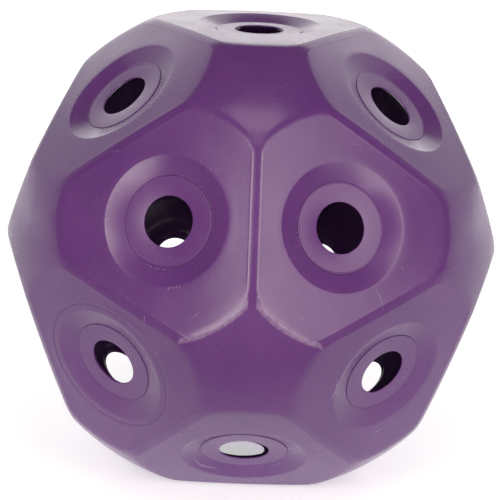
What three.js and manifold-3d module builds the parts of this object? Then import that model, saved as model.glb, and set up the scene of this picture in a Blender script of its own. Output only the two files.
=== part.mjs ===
// Faceted slow-feeder ball: a hollow moulded shell with a flat panel round every hole, domed corners,
// a press-in filling cap in one panel and a press-in collar in every hole.
// Millimetres, +Z up. The ball rests on one flat panel, with the origin on the ground under its centre.

import * as THREE from 'three';
import { mergeVertices } from 'three/addons/utils/BufferGeometryUtils.js';
import Module from 'manifold-3d';

const wasm = await Module();
wasm.setup();

// Overall size
const DOME_DIAMETER = 400;      // across two opposite domed corners
const FLAT_DISTANCE = 361;      // across two opposite flat panels
const WALL = 4.5;               // moulded wall

// The dish in the middle of each panel
const DISH_RADIUS = 48.4;       // where it meets the panel's face
const DISH_DEPTH = 4.5;

// The collar pressed into each dish's floor
const HOLE_RADIUS = 19;         // the hole that feed comes out of
const FLANGE_RADIUS = 33.5;
const FLANGE_THICKNESS = 1.5;
const SLEEVE_WALL = 3;

// The filling cap, which holds a whole dish
const CAP_RADIUS = 53.8;
const CAP_RIM_THICKNESS = 5;
const CAP_SKIRT_DEPTH = 16;
const CAP_SKIRT_WALL = 3.5;
const CAP_LEDGE_WIDTH = 4.5;    // the shell's ledge that the cap's rim sits on
const CAP_LEDGE_THICKNESS = 4;
const CAP_DIRECTION = new THREE.Vector3(-1, -1, 1).normalize();

const GAP = 0.3;                // clearance between touching pieces
const SEGMENTS = 24;            // facets round a circle
const OUTER_DOME_DETAIL = 8;
const INNER_DOME_DETAIL = 5;
const OVERSHOOT = 2;            // how far a cutter runs past the face that it cuts

// Ratios of a regular icosahedron
const PHI = (1 + Math.sqrt(5)) / 2;
const CORNER_PER_FLAT = Math.sqrt(3) * Math.sqrt(PHI * Math.sqrt(5)) / (PHI * PHI);

// Heights below a panel's face, and radii round its hole
const SEAT_RADIUS = FLANGE_RADIUS + GAP;
const SEAT_DEPTH = DISH_DEPTH + FLANGE_THICKNESS + GAP;
const BORE_RADIUS = HOLE_RADIUS + SLEEVE_WALL + GAP;
const BACK_DEPTH = DISH_DEPTH + WALL;
const BACK_RADIUS = SEAT_RADIUS + WALL;
const CAP_SEAT_RADIUS = CAP_RADIUS + GAP;
const CAP_SEAT_DEPTH = CAP_RIM_THICKNESS + GAP;
const CAP_MOUTH_RADIUS = CAP_SEAT_RADIUS - CAP_LEDGE_WIDTH;
const CAP_SKIRT_RADIUS = CAP_MOUTH_RADIUS - GAP;

const PURPLE = { color: 0x704a7d, roughness: 0.42, metalness: 0 };
const DEEP_PURPLE = { color: 0x6a4577, roughness: 0.45, metalness: 0 };

// A closed geometry as a solid, and a solid as a geometry

function solidOf(geometry) {
  const bare = geometry.clone();
  bare.deleteAttribute('normal');
  bare.deleteAttribute('uv');
  const merged = mergeVertices(bare);
  const vertProperties = new Float32Array(merged.attributes.position.array);
  const triVerts = new Uint32Array(merged.index.array);
  return new wasm.Manifold(new wasm.Mesh({ numProp: 3, vertProperties, triVerts }));
}

function geometryOf(solid) {
  const mesh = solid.getMesh();
  const geometry = new THREE.BufferGeometry();
  geometry.setAttribute('position', new THREE.BufferAttribute(new Float32Array(mesh.vertProperties), 3));
  geometry.setIndex(new THREE.BufferAttribute(new Uint32Array(mesh.triVerts), 1));
  geometry.computeVertexNormals();
  return geometry;
}

// A solid turned about +Z from [radius, height] corners, listed anticlockwise from the lowest near the axis.
// An outline that never reaches the axis closes on itself.

function turned(corners) {
  const closed = corners.every(([radius]) => radius > 0);
  const outline = closed ? [...corners, corners[0]] : corners;
  const points = outline.map(([radius, height]) => new THREE.Vector2(radius, height));
  const geometry = new THREE.LatheGeometry(points, SEGMENTS);
  geometry.rotateX(Math.PI / 2);
  return geometry;
}

// The ball's own frame has +Y up and +Z to the front, with two panels meeting in a ridge at the front.
// Each panel gets a placement: its centre, and a turn that takes +Z to its outward normal.

function panelPlacements() {
  const corners = new THREE.IcosahedronGeometry(1, 0).attributes.position;
  const placements = [];
  for (let first = 0; first < corners.count; first += 3) {
    const corner = new THREE.Vector3().fromBufferAttribute(corners, first);
    const normal = corner.clone();
    normal.add(new THREE.Vector3().fromBufferAttribute(corners, first + 1));
    normal.add(new THREE.Vector3().fromBufferAttribute(corners, first + 2));
    normal.normalize();
    const towardsCorner = corner.clone().projectOnPlane(normal).normalize();
    const sideways = normal.clone().cross(towardsCorner);
    const turn = new THREE.Matrix4().makeBasis(towardsCorner, sideways, normal);
    placements.push({
      normal,
      position: normal.clone().multiplyScalar(FLAT_DISTANCE / 2),
      quaternion: new THREE.Quaternion().setFromRotationMatrix(turn),
    });
  }
  return placements;
}

function placed(geometry, { position, quaternion }) {
  const matrix = new THREE.Matrix4().compose(position, quaternion, new THREE.Vector3(1, 1, 1));
  return geometry.clone().applyMatrix4(matrix);
}

function isCapPanel({ normal }) {
  return normal.dot(CAP_DIRECTION) > 0.99;
}

// The shell

function facetedBall(inset, detail) {
  const flats = new THREE.IcosahedronGeometry((FLAT_DISTANCE / 2 - inset) * CORNER_PER_FLAT, 0);
  const domes = new THREE.IcosahedronGeometry(DOME_DIAMETER / 2 - inset, detail);
  return solidOf(domes).intersect(solidOf(flats));
}

function dishCutter() {
  const slope = (DISH_RADIUS - SEAT_RADIUS) / DISH_DEPTH;
  return turned([
    [0, -BACK_DEPTH - OVERSHOOT],
    [BORE_RADIUS, -BACK_DEPTH - OVERSHOOT],
    [BORE_RADIUS, -SEAT_DEPTH],
    [SEAT_RADIUS, -SEAT_DEPTH],
    [SEAT_RADIUS, -DISH_DEPTH],
    [DISH_RADIUS + slope * OVERSHOOT, OVERSHOOT],
    [0, OVERSHOOT],
  ]);
}

function dishBack() {
  return turned([
    [0, -BACK_DEPTH],
    [BACK_RADIUS, -BACK_DEPTH],
    [DISH_RADIUS + WALL, -WALL],
    [DISH_RADIUS + WALL, 0],
    [0, 0],
  ]);
}

function capMouthCutter() {
  const ledgeDepth = CAP_SEAT_DEPTH + CAP_LEDGE_THICKNESS;
  return turned([
    [0, -ledgeDepth - OVERSHOOT],
    [CAP_MOUTH_RADIUS, -ledgeDepth - OVERSHOOT],
    [CAP_MOUTH_RADIUS, -CAP_SEAT_DEPTH],
    [CAP_SEAT_RADIUS, -CAP_SEAT_DEPTH],
    [CAP_SEAT_RADIUS, OVERSHOOT],
    [0, OVERSHOOT],
  ]);
}

function capMouthBack() {
  const ledgeDepth = CAP_SEAT_DEPTH + CAP_LEDGE_THICKNESS;
  return turned([
    [0, -ledgeDepth],
    [CAP_SEAT_RADIUS + WALL, -ledgeDepth],
    [CAP_SEAT_RADIUS + WALL, 0],
    [0, 0],
  ]);
}

function makeShell(panels) {
  let cavity = facetedBall(WALL, INNER_DOME_DETAIL);
  let body = facetedBall(0, OUTER_DOME_DETAIL);
  for (const panel of panels) {
    const back = isCapPanel(panel) ? capMouthBack() : dishBack();
    cavity = cavity.subtract(solidOf(placed(back, panel)));
  }
  body = body.subtract(cavity);
  for (const panel of panels) {
    const cutter = isCapPanel(panel) ? capMouthCutter() : dishCutter();
    body = body.subtract(solidOf(placed(cutter, panel)));
  }
  return piece('shell', geometryOf(body), PURPLE);
}

// The collar: a flat flange with a short sleeve through the wall

function collarGeometry() {
  const sleeveRadius = HOLE_RADIUS + SLEEVE_WALL;
  return turned([
    [HOLE_RADIUS, -BACK_DEPTH],
    [sleeveRadius, -BACK_DEPTH],
    [sleeveRadius, -DISH_DEPTH - FLANGE_THICKNESS],
    [FLANGE_RADIUS, -DISH_DEPTH - FLANGE_THICKNESS],
    [FLANGE_RADIUS, -DISH_DEPTH],
    [HOLE_RADIUS, -DISH_DEPTH],
  ]);
}

function makeCollar(name, panel) {
  const collar = piece(name, collarGeometry(), DEEP_PURPLE);
  collar.position.copy(panel.position);
  collar.quaternion.copy(panel.quaternion);
  return collar;
}

// The filling cap: a flat rim, a dish with a seat for its collar, and a skirt into the shell's mouth

function makeCap(panel) {
  const skirtInside = CAP_SKIRT_RADIUS - CAP_SKIRT_WALL;
  const cap = piece('filling_cap', turned([
    [BORE_RADIUS, -BACK_DEPTH],
    [BACK_RADIUS, -BACK_DEPTH],
    [skirtInside, -BACK_DEPTH + WALL / 2],
    [skirtInside, -CAP_SKIRT_DEPTH],
    [CAP_SKIRT_RADIUS, -CAP_SKIRT_DEPTH],
    [CAP_SKIRT_RADIUS, -CAP_RIM_THICKNESS],
    [CAP_RADIUS, -CAP_RIM_THICKNESS],
    [CAP_RADIUS, 0],
    [DISH_RADIUS, 0],
    [SEAT_RADIUS, -DISH_DEPTH],
    [SEAT_RADIUS, -SEAT_DEPTH],
    [BORE_RADIUS, -SEAT_DEPTH],
  ]), PURPLE);
  cap.position.copy(panel.position);
  cap.quaternion.copy(panel.quaternion);
  return cap;
}

function piece(name, geometry, finish) {
  const mesh = new THREE.Mesh(geometry, new THREE.MeshStandardMaterial(finish));
  mesh.name = name;
  return mesh;
}

// The ball, tipped back from its own frame until the panel behind the bottom one is flat on the ground

function makeBall() {
  const ball = new THREE.Group();
  const panels = panelPlacements();
  ball.add(makeShell(panels));
  const capPanel = panels.find(isCapPanel);
  ball.add(makeCap(capPanel));
  ball.add(makeCollar('cap_collar', capPanel));
  const shellPanels = panels.filter((panel) => !isCapPanel(panel));
  shellPanels.forEach((panel, index) => {
    const number = String(index + 1).padStart(2, '0');
    ball.add(makeCollar(`hole_collar_${number}`, panel));
  });
  ball.rotation.x = Math.atan(PHI * PHI);
  ball.position.z = FLAT_DISTANCE / 2;
  return ball;
}

const model = new THREE.Group();
model.add(makeBall());

export default model;
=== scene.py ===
"""A hollow, faceted slow-feeder ball of satin purple moulded plastic, on a pale studio floor.

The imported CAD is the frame. Each piece of the ball is a finer mesh of one CAD node, in the same place,
and only the threads of flash have no CAD node. Lengths are in millimetres until a mesh is made. Shaders,
lights and the floor are in metres.
"""

from itertools import combinations
from math import acos, atan, atan2, cos, pi, radians, sin, sqrt, tan
from random import Random

import bmesh
import bpy
import numpy as np
from mathutils import Matrix, Vector, noise


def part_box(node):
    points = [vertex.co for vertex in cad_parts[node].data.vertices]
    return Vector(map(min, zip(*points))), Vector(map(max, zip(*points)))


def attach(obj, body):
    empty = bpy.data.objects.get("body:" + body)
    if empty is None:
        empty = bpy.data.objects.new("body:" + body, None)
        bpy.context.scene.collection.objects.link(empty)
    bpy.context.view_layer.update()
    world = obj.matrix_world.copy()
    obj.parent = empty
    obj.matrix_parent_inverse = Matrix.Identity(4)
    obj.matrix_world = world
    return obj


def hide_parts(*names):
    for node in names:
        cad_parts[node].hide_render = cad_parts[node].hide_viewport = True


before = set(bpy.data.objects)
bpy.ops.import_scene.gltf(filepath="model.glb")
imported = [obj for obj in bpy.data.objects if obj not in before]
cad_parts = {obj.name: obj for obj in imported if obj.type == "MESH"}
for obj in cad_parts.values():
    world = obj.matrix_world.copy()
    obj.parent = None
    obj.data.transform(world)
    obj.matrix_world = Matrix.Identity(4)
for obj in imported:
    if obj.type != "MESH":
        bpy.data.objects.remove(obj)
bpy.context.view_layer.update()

chance = Random(7)

MM = 0.001

# The ball, as in the CAD apart from its domes
DOME_RADIUS = 198.5             # out to a domed corner: 1.5 less than in the CAD, as fitted to the photo
FLAT_RADIUS = 180.5             # out to a panel
WALL = 4.5
DISH_RADIUS = 48.4
DISH_DEPTH = 4.5
HOLE_RADIUS = 19
FLANGE_RADIUS = 33.5
FLANGE_THICKNESS = 1.5
SLEEVE_WALL = 3
CAP_RADIUS = 53.8
CAP_RIM_THICKNESS = 5
CAP_SKIRT_DEPTH = 16
CAP_SKIRT_WALL = 3.5
CAP_LEDGE_WIDTH = 4.5
CAP_LEDGE_THICKNESS = 4
SEAM = 0.3                      # gap between pressed-together pieces

# Heights below a panel's face, and radii round its hole
SLEEVE_RADIUS = HOLE_RADIUS + SLEEVE_WALL
BORE_RADIUS = SLEEVE_RADIUS + SEAM
SEAT_RADIUS = FLANGE_RADIUS + SEAM
SEAT_DEPTH = DISH_DEPTH + FLANGE_THICKNESS + SEAM
BACK_DEPTH = DISH_DEPTH + WALL
BACK_RADIUS = SEAT_RADIUS + WALL
CAP_SEAT_RADIUS = CAP_RADIUS + SEAM
CAP_SEAT_DEPTH = CAP_RIM_THICKNESS + SEAM
CAP_MOUTH_RADIUS = CAP_SEAT_RADIUS - CAP_LEDGE_WIDTH
CAP_SKIRT_RADIUS = CAP_MOUTH_RADIUS - SEAM

# What the CAD leaves out: rounded edges, beads, lips, and panels that fall away towards their corners
RIDGE_FLAT = 5                  # width of the flat band along a ridge
RIDGE_DROP = 0.2                # how much the fillet takes off each edge of that band
BEAD_WIDTH = 1.4                # the bead along each edge of the band
BEAD_HEIGHT = 0.16
ARC_DROP = 0.42                 # what the fillet takes off where a panel meets a domed corner
RIM_ROUNDING = 3                # fillet round a dish
SEAM_ROUNDING = 0.6
HOLE_ROUNDING = 0.6
SKIRT_ROUNDING = 0.5
HOLE_LAND = 0.9                 # how deep a hole stays straight before it flares
HOLE_FLARE = 2.6                # how much wider a hole is on the inside
SLEEVE_DEPTH = 2.6              # how far a collar reaches behind the floor of its dish
BORE_LAND = 1                   # the same straight part in the shell, behind a collar's seat
LIP_WIDTH = 1.2                 # a low lip round each collar, and its height
LIP_HEIGHT = 0.35
PRESSED_SEAM = 0.08             # gap round a collar or the cap once it is pressed home
PANEL_FALL = 2.15               # how far a panel falls away at FALL_RADIUS
FALL_RADIUS = 90.5
WARP = 0.14                     # slow waviness of the moulded wall
WARP_LENGTH = 75
WARP_OFFSET = Vector((3.1, 0.7, 5.9))

# Threads of flash, as shares of their width or length
THREAD_RISE = 1.2               # height, in half widths
THREAD_SINK = 0.25              # how deep the edges are sunk, in widths
THREAD_BLUNT = 0.04             # how blunt the ends are
BURR_LEAN = 0.9                 # radians to either side of straight outwards
BURR_LENGTHS = (0.5, 1.2)
BURR_WIDTHS = (0.3, 0.55)       # mm
BURR_BOW = 0.1

# How finely the meshes are cut
THREAD_STEPS = 9                # along a thread of flash
TURN_STEPS = 84                 # round a panel; a multiple of 6, so that neighbours share their edges
RING_STEPS = 96                 # round a collar or the cap
INSIDE_RINGS = 6                # on the inside of the shell, over a panel
FACE_RINGS = 4                  # on a panel's face, its arcs, the domes and the ridges' fillets
ARC_RINGS = 8
DOME_RINGS = 8
RIDGE_RINGS = 9
FACE_START = 3                  # how far outside a dish or the cap the face's rings begin
RING_GAP = 0.3                  # the least gap between two sets of rings
WELD_DISTANCE = 0.02
SHARP_ANGLE = 40                # degrees

# Where the panels, their arcs and the ridges lie
PHI = (1 + sqrt(5)) / 2
PANEL_TO_PANEL = acos(sqrt(5) / 3)
PANEL_INRADIUS = FLAT_RADIUS * tan(PANEL_TO_PANEL / 2)
ARC_RADIUS = sqrt(DOME_RADIUS ** 2 - (FLAT_RADIUS - PANEL_FALL) ** 2)
RIDGE_SLOPE = tan(PANEL_TO_PANEL / 2)
FILLET_REACH = 4                # how far apart two faces still round each other off, in drops
FILLET_MARGIN = 1.1             # how much further the close rings reach
RIDGE_FILLET = RIDGE_FLAT / 2 + FILLET_REACH * FILLET_MARGIN * RIDGE_DROP / RIDGE_SLOPE
ARC_FILLET = FILLET_REACH * FILLET_MARGIN * ARC_DROP * FLAT_RADIUS / ARC_RADIUS

# The ball's own frame has +Y up and +Z to the front. It is tipped back to rest on a panel.
BALL_PLACE = Matrix.Translation((0, 0, FLAT_RADIUS)) @ Matrix.Rotation(atan(PHI ** 2), 4, "X")
BALL_CENTRE = BALL_PLACE.translation * MM
LOW_DOME = BALL_PLACE @ (Vector((0, -1, PHI)).normalized() * DOME_RADIUS) * MM
FRONT_RIDGE = BALL_PLACE @ Vector((0, 0, FLAT_RADIUS / cos(PANEL_TO_PANEL / 2))) * MM
FRONT_PANELS = [BALL_PLACE.to_3x3() @ Vector((side / PHI, 0, PHI)).normalized() for side in (-1, 1)]

# Colours
PURPLE = (0.099, 0.028, 0.157)
CLOUDED_PURPLE = (0.112, 0.034, 0.17)
COLLAR_PURPLE = (0.106, 0.031, 0.163)
SCRATCH_COLOUR = (0.36, 0.25, 0.4)
# lighter purple for the worn arcs and ridge beads: wear together with a painted highlight
WORN_HIGHLIGHT_COLOUR = (0.36, 0.27, 0.38)
SPECK_COLOUR = (0.03, 0.012, 0.035)
FLASH_COLOUR = (0.32, 0.2, 0.36)
STRETCHED_COLOUR = (0.55, 0.44, 0.56)
FLOOR_WHITE = (0.9, 0.9, 0.9)
FLOOR_SHADE_GREY = (0.34, 0.34, 0.34)
WHITE_LIGHT = (1, 0.98, 0.97)
WARM_LIGHT = (1, 0.93, 0.84)
PINK_LIGHT = (1, 0.86, 0.88)

# Scratches, and wear with painted highlights
SCRATCH_TURNS = ((0.3, 0.5, 1.1), (1.2, -0.4, 0.2), (-0.6, 0.9, 2.2))       # the ways that they lie
SCRATCH_STRETCH = 45            # how much longer a scratch is than it is wide
ARC_WEAR_AND_HIGHLIGHT_REACH = 54.5           # how far from the low dome's middle the worn arcs, with their painted highlight, run
ARC_WEAR_AND_HIGHLIGHT_OFFSET = 0.6           # how far outside the arc its worn line with the painted highlight runs
RAGGED = 0.4                    # how far the rims of the worn arcs' painted highlight wander
RIDGE_WEAR_AND_HIGHLIGHT_REACH = 51           # how far from the ridge's middle its beads are worn and carry a painted highlight

# The camera, as fitted to the photo: degrees, and mm from the ball's centre
CAMERA_DISTANCE = 1691
CAMERA_TURN = -0.98
CAMERA_HEIGHT = 15.76
CAMERA_ROLL = 2.44
FIELD_OF_VIEW = 13.6
AIM_UP = -3.8                   # how far above the ball's centre the camera looks

# The studio, in metres
FLOOR_HALF = 20
BOX_DISTANCE = 1.8              # from the ball's centre to the soft boxes, and to the walls behind it
WALL_DISTANCE = 2.2
SKY = 0.1                       # light from all around


# Where the panels are

def panel_places():
    """A matrix for each of the twenty panels, in mm: +Z is its outward normal and +X points to a corner."""
    corners = []
    for one in (-1, 1):
        for phi in (-PHI, PHI):
            corners += [Vector((one, phi, 0)), Vector((0, one, phi)), Vector((phi, 0, one))]
    just_over_an_edge = 2.1     # neighbouring corners are 2 apart
    places = []
    for trio in combinations(corners, 3):
        if all((a - b).length < just_over_an_edge for a, b in combinations(trio, 2)):
            normal = (trio[0] + trio[1] + trio[2]).normalized()
            ahead = (trio[0] - normal * trio[0].dot(normal)).normalized()
            turn = Matrix((ahead, normal.cross(ahead), normal)).transposed().to_4x4()
            places.append(BALL_PLACE @ turn @ Matrix.Translation((0, 0, FLAT_RADIUS)))
    return places


def place_of(node, places):
    """The panel that a CAD node sits in."""
    low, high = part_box(node)
    middle = (low + high) / 2 / MM - BALL_PLACE.translation
    return max(places, key=lambda place: place.to_3x3().col[2].dot(middle))


# Profiles are lists of (radius, height) round a panel's axis, with height 0 on its face

def rounded(corners, steps=4):
    """A profile through (radius, height, rounding) corners, with an arc in place of each rounded one."""
    profile = []
    for i, (x, y, rounding) in enumerate(corners):
        here = np.array((x, y), float)
        if not rounding:
            profile.append(here)
            continue
        before = np.array(corners[i - 1][:2], float) - here
        after = np.array(corners[(i + 1) % len(corners)][:2], float) - here
        before /= np.linalg.norm(before)
        after /= np.linalg.norm(after)
        half = np.arccos(np.clip(before @ after, -1, 1)) / 2
        middle = here + (before + after) / np.linalg.norm(before + after) * rounding / sin(half)
        start = here + before * rounding / tan(half) - middle
        end = here + after * rounding / tan(half) - middle
        sweep = atan2(start[0] * end[1] - start[1] * end[0], start @ end)
        for k in range(steps + 1):
            a = sweep * k / steps
            turned_start = (start[0] * cos(a) - start[1] * sin(a), start[0] * sin(a) + start[1] * cos(a))
            profile.append(middle + turned_start)
    return np.array(profile)


def dish_profile():
    """The shell round a hole, from its inside, through the collar's bore and seat, to its face."""
    return rounded([
        (DISH_RADIUS + WALL, -WALL, 0),
        (BACK_RADIUS, -BACK_DEPTH, 0),
        (BORE_RADIUS + HOLE_FLARE, -BACK_DEPTH, 0),
        (BORE_RADIUS, -SEAT_DEPTH - BORE_LAND, 0),
        (BORE_RADIUS, -SEAT_DEPTH, 0),
        (SEAT_RADIUS, -SEAT_DEPTH, 0),
        (SEAT_RADIUS, -DISH_DEPTH, SEAM_ROUNDING),
        (DISH_RADIUS, 0, RIM_ROUNDING),
        (DISH_RADIUS + FACE_START, 0, 0),
    ])


def cap_mouth_profile():
    """The shell round the cap, from its inside, over the ledge that the cap sits on, to its face."""
    ledge_bottom = -CAP_SEAT_DEPTH - CAP_LEDGE_THICKNESS
    return rounded([
        (CAP_SEAT_RADIUS + WALL, -WALL, 0),
        (CAP_SEAT_RADIUS + WALL, ledge_bottom, 0),
        (CAP_MOUTH_RADIUS, ledge_bottom, 0),
        (CAP_MOUTH_RADIUS, -CAP_SEAT_DEPTH, 0),
        (CAP_SEAT_RADIUS, -CAP_SEAT_DEPTH, 0),
        (CAP_SEAT_RADIUS, 0, SEAM_ROUNDING / 2),
        (CAP_SEAT_RADIUS + FACE_START, 0, 0),
    ])


def cap_profile():
    """The filling cap: a dish with a collar's seat, a skirt and a flat rim."""
    edge = CAP_SEAT_RADIUS - PRESSED_SEAM
    skirt_inside = CAP_SKIRT_RADIUS - CAP_SKIRT_WALL
    return rounded([
        (BORE_RADIUS, -SEAT_DEPTH, 0),
        (BORE_RADIUS, -BACK_DEPTH, 0),
        (BACK_RADIUS, -BACK_DEPTH, 0),
        (skirt_inside, -BACK_DEPTH + WALL / 2, 0),
        (skirt_inside, -CAP_SKIRT_DEPTH, SKIRT_ROUNDING),
        (CAP_SKIRT_RADIUS, -CAP_SKIRT_DEPTH, SKIRT_ROUNDING),
        (CAP_SKIRT_RADIUS, -CAP_RIM_THICKNESS, 0),
        (edge, -CAP_RIM_THICKNESS, 0),
        (edge, 0, SEAM_ROUNDING / 2),
        (DISH_RADIUS, 0, RIM_ROUNDING / 2),
        (SEAT_RADIUS, -DISH_DEPTH, SEAM_ROUNDING),
        (SEAT_RADIUS, -SEAT_DEPTH, 0),
    ])


def collar_profile():
    """A collar: a flat flange with a low lip round it, and a short sleeve that flares inwards."""
    edge = SEAT_RADIUS - PRESSED_SEAM
    floor = -DISH_DEPTH
    under = floor - FLANGE_THICKNESS
    return rounded([
        (HOLE_RADIUS, floor, HOLE_ROUNDING),
        (HOLE_RADIUS, floor - HOLE_LAND, 0),
        (HOLE_RADIUS + HOLE_FLARE, floor - SLEEVE_DEPTH, 0),
        (SLEEVE_RADIUS, floor - SLEEVE_DEPTH, 0),
        (SLEEVE_RADIUS, under, 0),
        (edge, under, 0),
        (edge, floor + LIP_HEIGHT, LIP_HEIGHT / 2),
        (edge - LIP_WIDTH / 2, floor + LIP_HEIGHT, LIP_HEIGHT / 2),
        (edge - LIP_WIDTH, floor, LIP_HEIGHT / 2),
    ])


# The shell's face over a panel and its share of three domed corners

def soft_min(a, b, drop):
    """The smaller of a and b, rounded off near where they are equal, and less by drop just there."""
    near = np.clip(1 - np.abs(a - b) / (FILLET_REACH * drop), 0, 1)
    return np.minimum(a, b) - near ** 2 * drop


def panel_distance(along, inset):
    """How far out a panel's face is along a direction whose cosine to its axis is given."""
    across = FLAT_RADIUS * np.sqrt(1 / along ** 2 - 1)
    reach = (across ** 2 - DISH_RADIUS ** 2) / (FALL_RADIUS ** 2 - DISH_RADIUS ** 2)
    return (FLAT_RADIUS - inset) / along - PANEL_FALL * np.clip(reach, 0, None)


def nearest_neighbour(direction, inset):
    """How far out the nearest of a panel's three neighbours is along a direction."""
    flat = sin(PANEL_TO_PANEL)
    distances = []
    for side in (pi / 3, pi, 5 * pi / 3):
        normal = np.array((flat * cos(side), flat * sin(side), cos(PANEL_TO_PANEL)))
        distances.append(panel_distance(direction @ normal, inset))
    return np.minimum.reduce(distances)


def ball_face(radius, angle, inset=0):
    """Points on the ball's face, in the panel's frame, over points at that radius and angle on the panel."""
    spot = np.stack([radius * np.cos(angle), radius * np.sin(angle), np.full_like(radius, FLAT_RADIUS)], -1)
    direction = spot / np.linalg.norm(spot, axis=-1, keepdims=True)
    own = panel_distance(direction[..., 2], inset)
    other = nearest_neighbour(direction, inset)
    band = (own + other) / 2 - RIDGE_FLAT / 2 * RIDGE_SLOPE
    distance = soft_min(np.minimum(own, other), band, RIDGE_DROP)
    off_bead = np.abs(own - other) / 2 / RIDGE_SLOPE - RIDGE_FLAT / 2 - BEAD_WIDTH / 2
    distance = distance + BEAD_HEIGHT * np.exp(-(2 * off_bead / BEAD_WIDTH) ** 2)
    distance = soft_min(distance, DOME_RADIUS - inset, ARC_DROP)
    return direction * distance[..., None] - (0, 0, FLAT_RADIUS)


def edge_radius(angle):
    """How far the panel reaches at an angle: to its ridge, or to its corner's middle."""
    off_middle = (angle % (2 * pi / 3)) - pi / 3
    return PANEL_INRADIUS / np.cos(off_middle)


def spread(start, end, steps):
    """Rings from start to end for every angle, without start itself."""
    share = np.linspace(0, 1, steps + 1)[1:, None]
    return start + (end - start) * share


def outer_rings(start, angle):
    """Radii of the rings from start out to the panel's edge, close together on the fillets."""
    edge = edge_radius(angle)
    fillet = edge - RIDGE_FILLET * edge / PANEL_INRADIUS
    before_arc = np.minimum(ARC_RADIUS - ARC_FILLET, fillet - 2 * RING_GAP)
    after_arc = np.minimum(ARC_RADIUS + ARC_FILLET, fillet - RING_GAP)
    return np.concatenate([
        spread(np.full_like(angle, start), before_arc, FACE_RINGS),
        spread(before_arc, after_arc, ARC_RINGS),
        spread(after_arc, fillet, DOME_RINGS),
        spread(fillet, edge, RIDGE_RINGS),
    ])


def full_turn(steps):
    """Evenly spaced angles, once round."""
    return np.arange(steps) * 2 * pi / steps


def turn_profile(profile, angle):
    """Rings of points: a profile turned to each angle."""
    return np.stack([
        profile[:, :1] * np.cos(angle),
        profile[:, :1] * np.sin(angle),
        np.repeat(profile[:, 1:], len(angle), 1),
    ], -1)


def panel_skin(is_cap):
    """Rings over one panel of the shell: from its edge inside, through the hole, to its edge outside."""
    angle = full_turn(TURN_STEPS)
    profile = cap_mouth_profile() if is_cap else dish_profile()
    inside = spread(np.full_like(angle, profile[0][0]), edge_radius(angle), INSIDE_RINGS)[::-1]
    outside = outer_rings(profile[-1][0], angle)
    return np.concatenate([
        ball_face(inside, np.broadcast_to(angle, inside.shape), WALL),
        turn_profile(profile, angle),
        ball_face(outside, np.broadcast_to(angle, outside.shape)),
    ])


# Meshes

def ring_faces(rings, steps, closed):
    """Quads between neighbouring rings of steps points each. closed joins the last ring to the first."""
    faces = []
    for ring in range(rings if closed else rings - 1):
        here = ring * steps
        there = (ring + 1) % rings * steps
        for k in range(steps):
            after = (k + 1) % steps
            faces.append((here + k, there + k, there + after, here + after))
    return faces


def moved(points, place):
    matrix = np.array(place)
    return points.reshape(-1, 3) @ matrix[:3, :3].T + matrix[:3, 3]


def joined(parts):
    """One list of points and one of faces, from many (points, faces) parts."""
    points = []
    faces = []
    start = 0
    for part_points, part_faces in parts:
        points.append(part_points)
        faces += [tuple(start + corner for corner in face) for face in part_faces]
        start += len(part_points)
    return np.concatenate(points), faces


def smooth(mesh):
    mesh.shade_smooth()
    mesh.set_sharp_from_angle(angle=radians(SHARP_ANGLE))


def make_piece(name, points, faces, material):
    mesh = bpy.data.meshes.new(name)
    mesh.from_pydata([tuple(point) for point in points * MM], [], faces)
    mesh.validate()
    smooth(mesh)
    mesh.materials.append(material)
    piece = bpy.data.objects.new(name, mesh)
    bpy.context.scene.collection.objects.link(piece)
    return piece


def weld(piece):
    """Joins the points that neighbouring panels share."""
    mesh = bmesh.new()
    mesh.from_mesh(piece.data)
    bmesh.ops.remove_doubles(mesh, verts=mesh.verts, dist=WELD_DISTANCE * MM)
    bmesh.ops.recalc_face_normals(mesh, faces=mesh.faces)
    mesh.to_mesh(piece.data)
    mesh.free()


def warp(piece):
    """Moves every point in or out by a slow noise, as a moulded wall cools unevenly."""
    for vertex in piece.data.vertices:
        outward = vertex.co - BALL_CENTRE
        shift = noise.noise(vertex.co / (WARP_LENGTH * MM) + WARP_OFFSET)
        vertex.co += outward.normalized() * shift * WARP * MM


def make_shell(places, cap_place, material):
    parts = []
    for place in places:
        skin = panel_skin(place is cap_place)
        parts.append((moved(skin, place), ring_faces(len(skin), TURN_STEPS, False)))
    shell = make_piece("moulded_shell", *joined(parts), material)
    weld(shell)
    warp(shell)
    smooth(shell.data)
    return shell


def turned_piece(name, profile, place, material):
    """A closed profile, listed anticlockwise, turned round a panel's axis."""
    points = turn_profile(profile[::-1], full_turn(RING_STEPS))
    return make_piece(name, moved(points, place), ring_faces(len(profile), RING_STEPS, True), material)


# Small faults of the moulding: threads of flash, scratches and nicks that stand up from the face

def dish_height(radius):
    """The height of a dish at that radius, from its panel's flat face."""
    share = (DISH_RADIUS - radius) / (DISH_RADIUS - SEAT_RADIUS)
    return -DISH_DEPTH * np.clip(share, 0, 1)


def face_points(right, up, place):
    """Points on a panel's face, in mm to the right of its hole and above it as seen from in front."""
    turn = place.to_3x3()
    above = turn.inverted() @ Vector((0, 0, 1))
    lean = atan2(above.y, above.x)
    radius = np.hypot(right, up)
    angle = lean - pi / 2 + np.arctan2(up, right)
    points = ball_face(radius, angle)
    points[:, 2] += dish_height(radius)
    return points


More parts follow.
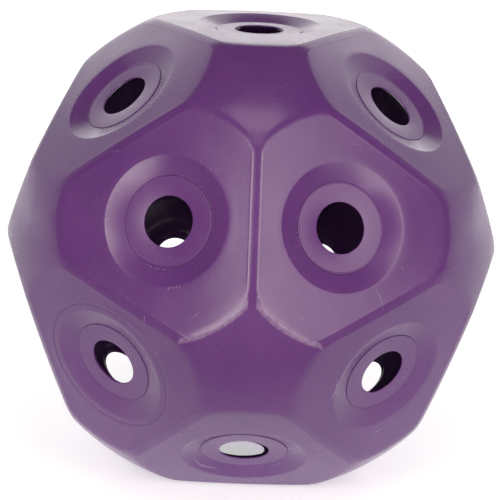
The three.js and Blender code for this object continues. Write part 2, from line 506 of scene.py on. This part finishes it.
def thread(place, start, end, width, bow):
    """A closed, tapered thread of plastic that lies along a panel's face and is half sunk in it."""
    share = np.linspace(0, 1, THREAD_STEPS)
    across = np.array((start[1] - end[1], end[0] - start[0]), float)
    across /= np.linalg.norm(across)
    straight = np.array(start) + (np.array(end) - start) * share[:, None]
    along = straight + across * (bow * np.sin(pi * share))[:, None]
    taper = np.sqrt(np.sin(pi * (THREAD_BLUNT + (1 - 2 * THREAD_BLUNT) * share)))
    half = width / 2 * taper[:, None]
    left = face_points(*(along + across * half).T, place)
    right = face_points(*(along - across * half).T, place)
    top = face_points(*along.T, place)
    left[:, 2] -= width * THREAD_SINK
    right[:, 2] -= width * THREAD_SINK
    top[:, 2] += half[:, 0] * THREAD_RISE
    points = np.stack([left, right, top], 1).reshape(-1, 3)
    last = 3 * (THREAD_STEPS - 1)
    ends = [(0, 1, 2), (last + 2, last + 1, last)]
    return moved(points, place), ring_faces(THREAD_STEPS, 3, False) + ends


def make_threads(name, marks, place, material):
    parts = [thread(place, *mark) for mark in marks]
    return make_piece(name, *joined(parts), material)


def arc_burrs(radius, start, end, count, length):
    """Short burrs round part of a circle on a panel, between two clock angles in degrees."""
    burrs = []
    for k in range(count):
        at = radians(start + (end - start) * (k + chance.random()) / count)
        lean = at + chance.uniform(-BURR_LEAN, BURR_LEAN)
        size = length * chance.uniform(*BURR_LENGTHS)
        near = (radius * sin(at), radius * cos(at))
        far = (near[0] + size * sin(lean), near[1] + size * cos(lean))
        burrs.append((near, far, chance.uniform(*BURR_WIDTHS), BURR_BOW * size))
    return burrs


# What marks each panel: (start, end, width, bow) in mm, to the right of its hole and above it
MARKS = {
    "hole_collar_07": [
        *arc_burrs(50, 18, 42, 9, 1.6),
        *arc_burrs(48.5, 155, 170, 6, 2.2),
        *arc_burrs(34.5, 5, 92, 26, 0.9),
        *arc_burrs(34.5, 172, 196, 7, 1.4),
        ((-54, 44), (-51, 46), 0.5, 0.2),
        ((-50, 45), (-47, 46.5), 0.4, 0.2),
        ((-5, -71), (-5.5, -77), 0.6, 0.2),
        ((38, -60), (30, -68), 0.35, 1),
    ],
    "hole_collar_16": [
        *arc_burrs(49.5, 60, 75, 4, 1.3),
        *arc_burrs(34.5, 250, 290, 7, 0.9),
        ((20, -44), (27, -63), 0.4, 1.5),
        ((-40, -62), (-36, -66), 0.6, 0.3),
        ((44, -30), (46, -36), 0.45, 0.3),
        ((12, 61), (22, 58), 0.35, 0.5),
    ],
    "hole_collar_01": [
        *arc_burrs(34.5, 300, 345, 9, 1.1),
        *arc_burrs(20, 275, 320, 12, 0.9),
        *arc_burrs(34.5, 150, 200, 6, 1),
    ],
    "hole_collar_11": [
        *arc_burrs(53, 330, 350, 4, 1.2),
        ((-52, 10), (-50, -12), 0.4, 2.5),
        ((10, -58), (18, -55), 0.4, 0.5),
    ],
    "hole_collar_12": [
        *arc_burrs(36, 120, 165, 9, 1.1),
        *arc_burrs(41, 200, 250, 8, 1),
        ((-38, -16), (-20, -36), 0.4, -4),
    ],
}


# Nodes. Wherever a value is asked for, another node's socket will do.

def feed(tree, socket, value):
    """Links a socket to another node's, or sets it to a number, vector or colour."""
    if isinstance(value, bpy.types.NodeSocket):
        tree.links.new(value, socket)
    elif socket.type == "RGBA":
        socket.default_value = (*value, 1)
    else:
        socket.default_value = value


def add_node(tree, kind, inputs, **settings):
    """A new node with these inputs, by name or number, and these settings."""
    node = tree.nodes.new(kind)
    for name, value in settings.items():
        setattr(node, name, value)
    for key, value in inputs.items():
        feed(tree, node.inputs[key], value)
    return node


def math_of(tree, operation, first, second=0):
    return add_node(tree, "ShaderNodeMath", {0: first, 1: second}, operation=operation).outputs[0]


def sum_of(tree, *values):
    total = values[0]
    for value in values[1:]:
        total = math_of(tree, "ADD", total, value)
    return total


def product_of(tree, *values):
    product = values[0]
    for value in values[1:]:
        product = math_of(tree, "MULTIPLY", product, value)
    return product


def off_value(tree, value, target):
    """How far a value is from a target, either way."""
    return math_of(tree, "ABSOLUTE", math_of(tree, "SUBTRACT", value, target))


def vector_math(tree, operation, first, second=(0, 0, 0)):
    node = add_node(tree, "ShaderNodeVectorMath", {0: first, 1: second}, operation=operation)
    return node.outputs["Value" if operation in ("DISTANCE", "LENGTH") else "Vector"]


def part_of(tree, place, axis):
    return add_node(tree, "ShaderNodeSeparateXYZ", {"Vector": place}).outputs[axis]


def ramp(tree, value, low, high, start=0, end=1):
    """Takes low to start and high to end, smoothly, and holds them beyond."""
    return add_node(tree, "ShaderNodeMapRange", {
        "Value": value,
        "From Min": low,
        "From Max": high,
        "To Min": start,
        "To Max": end,
    }, interpolation_type="SMOOTHSTEP").outputs["Result"]


def blend_colour(tree, amount, colour, other):
    mix = add_node(tree, "ShaderNodeMix", {"Factor": amount, "A": colour, "B": other}, data_type="RGBA")
    return mix.outputs["Result"]


def noise_of(tree, place, scale, detail=2, distortion=0):
    """Smooth noise from 0 to 1, with about that many features to a metre."""
    return add_node(tree, "ShaderNodeTexNoise", {
        "Vector": place,
        "Scale": scale,
        "Detail": detail,
        "Distortion": distortion,
    }).outputs["Fac"]


def hairlines(tree, place, turn, scale, share):
    """Fine straight scratches, all lying one way, over that share of the noise."""
    stretched = add_node(tree, "ShaderNodeMapping", {
        "Vector": place,
        "Rotation": turn,
        "Scale": (scale, scale / SCRATCH_STRETCH, scale),
    }).outputs["Vector"]
    fine = noise_of(tree, stretched, 1, detail=1)
    return ramp(tree, fine, 1 - share, 1 - share * 0.75)


def specks(tree, place, scale, radius, share):
    """Round specks of that radius in metres, in that share of the cells."""
    cells = add_node(tree, "ShaderNodeTexVoronoi", {"Vector": place, "Scale": scale, "Randomness": 1})
    dot = ramp(tree, cells.outputs["Distance"], radius * scale, radius * scale * 0.4)
    split = add_node(tree, "ShaderNodeSeparateColor", {"Color": cells.outputs["Color"]})
    chosen = ramp(tree, split.outputs["Red"], share, share * 0.9)
    return product_of(tree, dot, chosen)


# Looks

def new_material(name):
    """A material, its tree and shader, and the place of the point being shaded, in metres."""
    material = bpy.data.materials.new(name)
    material.use_nodes = True
    tree = material.node_tree
    place = add_node(tree, "ShaderNodeTexCoord", {}).outputs["Object"]
    return material, tree, tree.nodes["Principled BSDF"], place


def highlit_worn_arcs(tree, place):
    """A painted highlight, in blotches, along the edges of the two front panels over the domed corner below
    them, where the ball also rubs the ground and scuffs them.
    """
    from_dome = vector_math(tree, "DISTANCE", place, LOW_DOME)
    near = ramp(tree, from_dome, (ARC_WEAR_AND_HIGHLIGHT_REACH + 1) * MM, (ARC_WEAR_AND_HIGHLIGHT_REACH - 1) * MM)
    from_centre = vector_math(tree, "SUBTRACT", place, BALL_CENTRE)
    ragged = ramp(tree, noise_of(tree, place, 500), 0.2, 0.8, -RAGGED * MM, RAGGED * MM)
    arcs = []
    for normal in FRONT_PANELS:
        radius = vector_math(tree, "LENGTH", vector_math(tree, "CROSS_PRODUCT", from_centre, normal))
        off_arc = off_value(tree, radius, (ARC_RADIUS + ARC_WEAR_AND_HIGHLIGHT_OFFSET) * MM)
        arcs.append(ramp(tree, sum_of(tree, off_arc, ragged), 3 * MM, 1 * MM))
    either = ramp(tree, sum_of(tree, *arcs), 0, 1)
    off_ridge = off_value(tree, part_of(tree, place, "X"), 0)
    beside_ridge = ramp(tree, off_ridge, RIDGE_FLAT / 2 * MM, (RIDGE_FLAT / 2 + 1) * MM)
    blotches = ramp(tree, noise_of(tree, place, 320, detail=3), 0.35, 0.6, 0.5, 1)
    return product_of(tree, either, near, beside_ridge, blotches)


def highlit_worn_ridge(tree, place):
    """A painted highlight on the two beads along the front ridge, where they are also worn."""
    from_middle = vector_math(tree, "DISTANCE", place, FRONT_RIDGE)
    near = ramp(tree, from_middle, (RIDGE_WEAR_AND_HIGHLIGHT_REACH + 3) * MM, (RIDGE_WEAR_AND_HIGHLIGHT_REACH - 3) * MM)
    off_ridge = off_value(tree, part_of(tree, place, "X"), 0)
    off_bead = off_value(tree, off_ridge, (RIDGE_FLAT + BEAD_WIDTH) / 2 * MM)
    return product_of(tree, ramp(tree, off_bead, 1.1 * MM, 0.3 * MM), near)


def fine_scratches(tree, place):
    """Hairlines lying three ways, in patches."""
    crossing = [hairlines(tree, place, turn, 900, 0.33) for turn in SCRATCH_TURNS]
    patches = ramp(tree, noise_of(tree, place, 22, detail=3), 0.48, 0.66)
    return product_of(tree, sum_of(tree, *crossing), patches)


def plastic_colour(tree, place, colour, clouded, scratches):
    """Clouds and mottling, then scratches, specks, and worn edges with painted highlights, over them."""
    clouds = ramp(tree, noise_of(tree, place, 16, detail=4, distortion=0.6), 0.35, 0.65)
    mottle = ramp(tree, noise_of(tree, place, 190, detail=3), 0.3, 0.7, 0, 0.1)
    layers = [
        (clouds, 1, clouded),
        (mottle, 1, [part * 0.7 for part in colour]),
        (scratches, 0.1, SCRATCH_COLOUR),
        (specks(tree, place, 70, 0.5 * MM, 0.03), 0.35, SCRATCH_COLOUR),
        (specks(tree, place, 55, 0.7 * MM, 0.05), 0.5, SPECK_COLOUR),
        # painted highlights: the worn arcs and ridge beads are painted lighter, where the edges are also
        # worn
        (highlit_worn_arcs(tree, place), 0.45, WORN_HIGHLIGHT_COLOUR),
        (highlit_worn_ridge(tree, place), 0.4, WORN_HIGHLIGHT_COLOUR),
    ]
    skin = colour
    for mask, strength, layer_colour in layers:
        skin = blend_colour(tree, product_of(tree, mask, strength), skin, layer_colour)
    return skin


def satin_plastic(name, colour, clouded, grain):
    """Moulded polyethylene: clouded colour, fine grain, orange peel, scratches, specks, and worn edges with
    painted highlights.
    """
    material, tree, shader, place = new_material(name)
    scratches = fine_scratches(tree, place)
    feed(tree, shader.inputs["Base Color"], plastic_colour(tree, place, colour, clouded, scratches))

    fine = noise_of(tree, place, 1100)
    satin = ramp(tree, noise_of(tree, place, 30, detail=4), 0.3, 0.7, 0.19, 0.25)
    roughness = sum_of(tree, satin, product_of(tree, fine, 0.05), product_of(tree, scratches, 0.08))
    feed(tree, shader.inputs["Roughness"], roughness)

    peel = product_of(tree, noise_of(tree, place, 130), 0.6)
    height = sum_of(tree, product_of(tree, fine, grain), peel, product_of(tree, scratches, -0.15))
    bump = add_node(tree, "ShaderNodeBump", {"Strength": 0.16, "Distance": 0.1 * MM, "Height": height})
    feed(tree, shader.inputs["Normal"], bump.outputs["Normal"])
    shader.inputs["IOR"].default_value = 1.5
    return material


def flash_plastic():
    """Thin threads of the same plastic, gone pale where they are stretched."""
    material, tree, shader, place = new_material("flash_plastic")
    pale = ramp(tree, noise_of(tree, place, 900), 0.35, 0.65)
    feed(tree, shader.inputs["Base Color"], blend_colour(tree, pale, FLASH_COLOUR, STRETCHED_COLOUR))
    shader.inputs["Roughness"].default_value = 0.45
    return material


def pale_floor():
    """White and lit from below like a light table, and greyer in front of the ball as painted shade."""
    material, tree, shader, place = new_material("pale_floor")
    behind = part_of(tree, place, "Y")
    # painted shade: the floor is greyer in front of the ball
    front_shade = ramp(tree, behind, -0.1, -0.4)
    near_glow = ramp(tree, behind, -0.4, -0.12, 0.03, 0.5)
    far_glow = ramp(tree, behind, 0.6, 1.8, 0, 0.4)
    feed(tree, shader.inputs["Base Color"], blend_colour(tree, front_shade, FLOOR_WHITE, FLOOR_SHADE_GREY))
    feed(tree, shader.inputs["Emission Strength"], sum_of(tree, near_glow, far_glow))
    shader.inputs["Emission Color"].default_value = (1, 1, 1, 1)
    shader.inputs["Roughness"].default_value = 0.9
    return material


# Floor, camera and light

def make_floor():
    half = FLOOR_HALF
    corners = [(-half, -half, 0), (half, -half, 0), (half, half, 0), (-half, half, 0)]
    mesh = bpy.data.meshes.new("floor")
    mesh.from_pydata(corners, [], [(0, 1, 2, 3)])
    mesh.materials.append(pale_floor())
    floor = bpy.data.objects.new("floor", mesh)
    bpy.context.scene.collection.objects.link(floor)


def direction(turn, height):
    """The direction at that turn from the front, anticlockwise from above, and that height, in degrees."""
    turn, height = radians(turn), radians(height)
    return Vector((sin(turn) * cos(height), -cos(turn) * cos(height), sin(height)))


def make_camera():
    data = bpy.data.cameras.new("camera")
    data.angle = radians(FIELD_OF_VIEW)
    camera = bpy.data.objects.new("camera", data)
    bpy.context.scene.collection.objects.link(camera)
    back = direction(CAMERA_TURN, CAMERA_HEIGHT)
    roll = Matrix.Rotation(radians(CAMERA_ROLL), 4, "Z")
    turn = back.to_track_quat("Z", "Y").to_matrix().to_4x4() @ roll
    aim = BALL_CENTRE + turn.col[1].to_3d() * AIM_UP * MM
    camera.matrix_world = Matrix.Translation(aim + back * CAMERA_DISTANCE * MM) @ turn
    bpy.context.scene.camera = camera


def make_world():
    world = bpy.data.worlds.new("studio")
    bpy.context.scene.world = world
    world.use_nodes = True
    background = world.node_tree.nodes["Background"]
    background.inputs["Color"].default_value = (1, 1, 1, 1)
    background.inputs["Strength"].default_value = SKY


def make_light(name, turn, height, distance, size, radiance, colour):
    """A soft box facing the ball. The distance and size are in metres."""
    data = bpy.data.lights.new(name, "AREA")
    data.shape = "RECTANGLE"
    data.size, data.size_y = size
    data.energy = radiance * pi * size[0] * size[1]
    data.color = colour
    light = bpy.data.objects.new(name, data)
    bpy.context.scene.collection.objects.link(light)
    back = direction(turn, height)
    facing = back.to_track_quat("Z", "Y").to_matrix().to_4x4()
    light.matrix_world = Matrix.Translation(BALL_CENTRE + back * distance) @ facing


def make_lights():
    """Two tall boxes in front, each with a fill; walls at the sides and behind; two boxes overhead."""
    make_light("left_box", -26, 15, BOX_DISTANCE, (0.52, 1.5), 7.2, WARM_LIGHT)
    make_light("left_fill", -14, 18, BOX_DISTANCE, (0.24, 1.3), 2.8, WARM_LIGHT)
    make_light("right_box", 28, 15, BOX_DISTANCE, (0.5, 1.5), 5.8, WARM_LIGHT)
    make_light("right_fill", 44, 16, BOX_DISTANCE, (0.4, 1.5), 2.8, WARM_LIGHT)
    make_light("left_wall", -126, 18, WALL_DISTANCE, (2.2, 1.8), 0.85, WHITE_LIGHT)
    make_light("right_wall", 126, 18, WALL_DISTANCE, (2.2, 1.8), 0.88, WHITE_LIGHT)
    make_light("back_wall", 180, 15, WALL_DISTANCE, (2.2, 0.7), 1.7, WHITE_LIGHT)
    make_light("back_box", 180, 32, WALL_DISTANCE, (3, 0.9), 1.2, WHITE_LIGHT)
    make_light("overhead_box", 0, 69, BOX_DISTANCE, (0.7, 0.5), 2.9, PINK_LIGHT)
    make_light("high_box", 0, 52, BOX_DISTANCE, (0.9, 0.5), 1.3, PINK_LIGHT)


make_camera()
make_floor()
make_world()
make_lights()
bpy.context.scene.view_settings.view_transform = "Standard"

shell_plastic = satin_plastic("shell_plastic", PURPLE, CLOUDED_PURPLE, 0.3)
thread_plastic = flash_plastic()
collar_plastic = satin_plastic("collar_plastic", COLLAR_PURPLE, CLOUDED_PURPLE, 0.2)

places = panel_places()
cap_place = place_of("filling_cap", places)
shell = make_shell(places, cap_place, shell_plastic)
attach(shell, "ball")
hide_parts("shell")

cap = turned_piece("cap_body", cap_profile(), cap_place, shell_plastic)
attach(cap, "cap")
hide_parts("filling_cap")

for node in sorted(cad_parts):
    if "collar" in node:
        collar = turned_piece(f"ring_{node}", collar_profile(), place_of(node, places), collar_plastic)
        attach(collar, "cap" if node == "cap_collar" else "ball")
        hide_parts(node)

for node, marks in MARKS.items():
    burrs = make_threads(f"flash_{node}", marks, place_of(node, places), thread_plastic)
    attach(burrs, "ball")
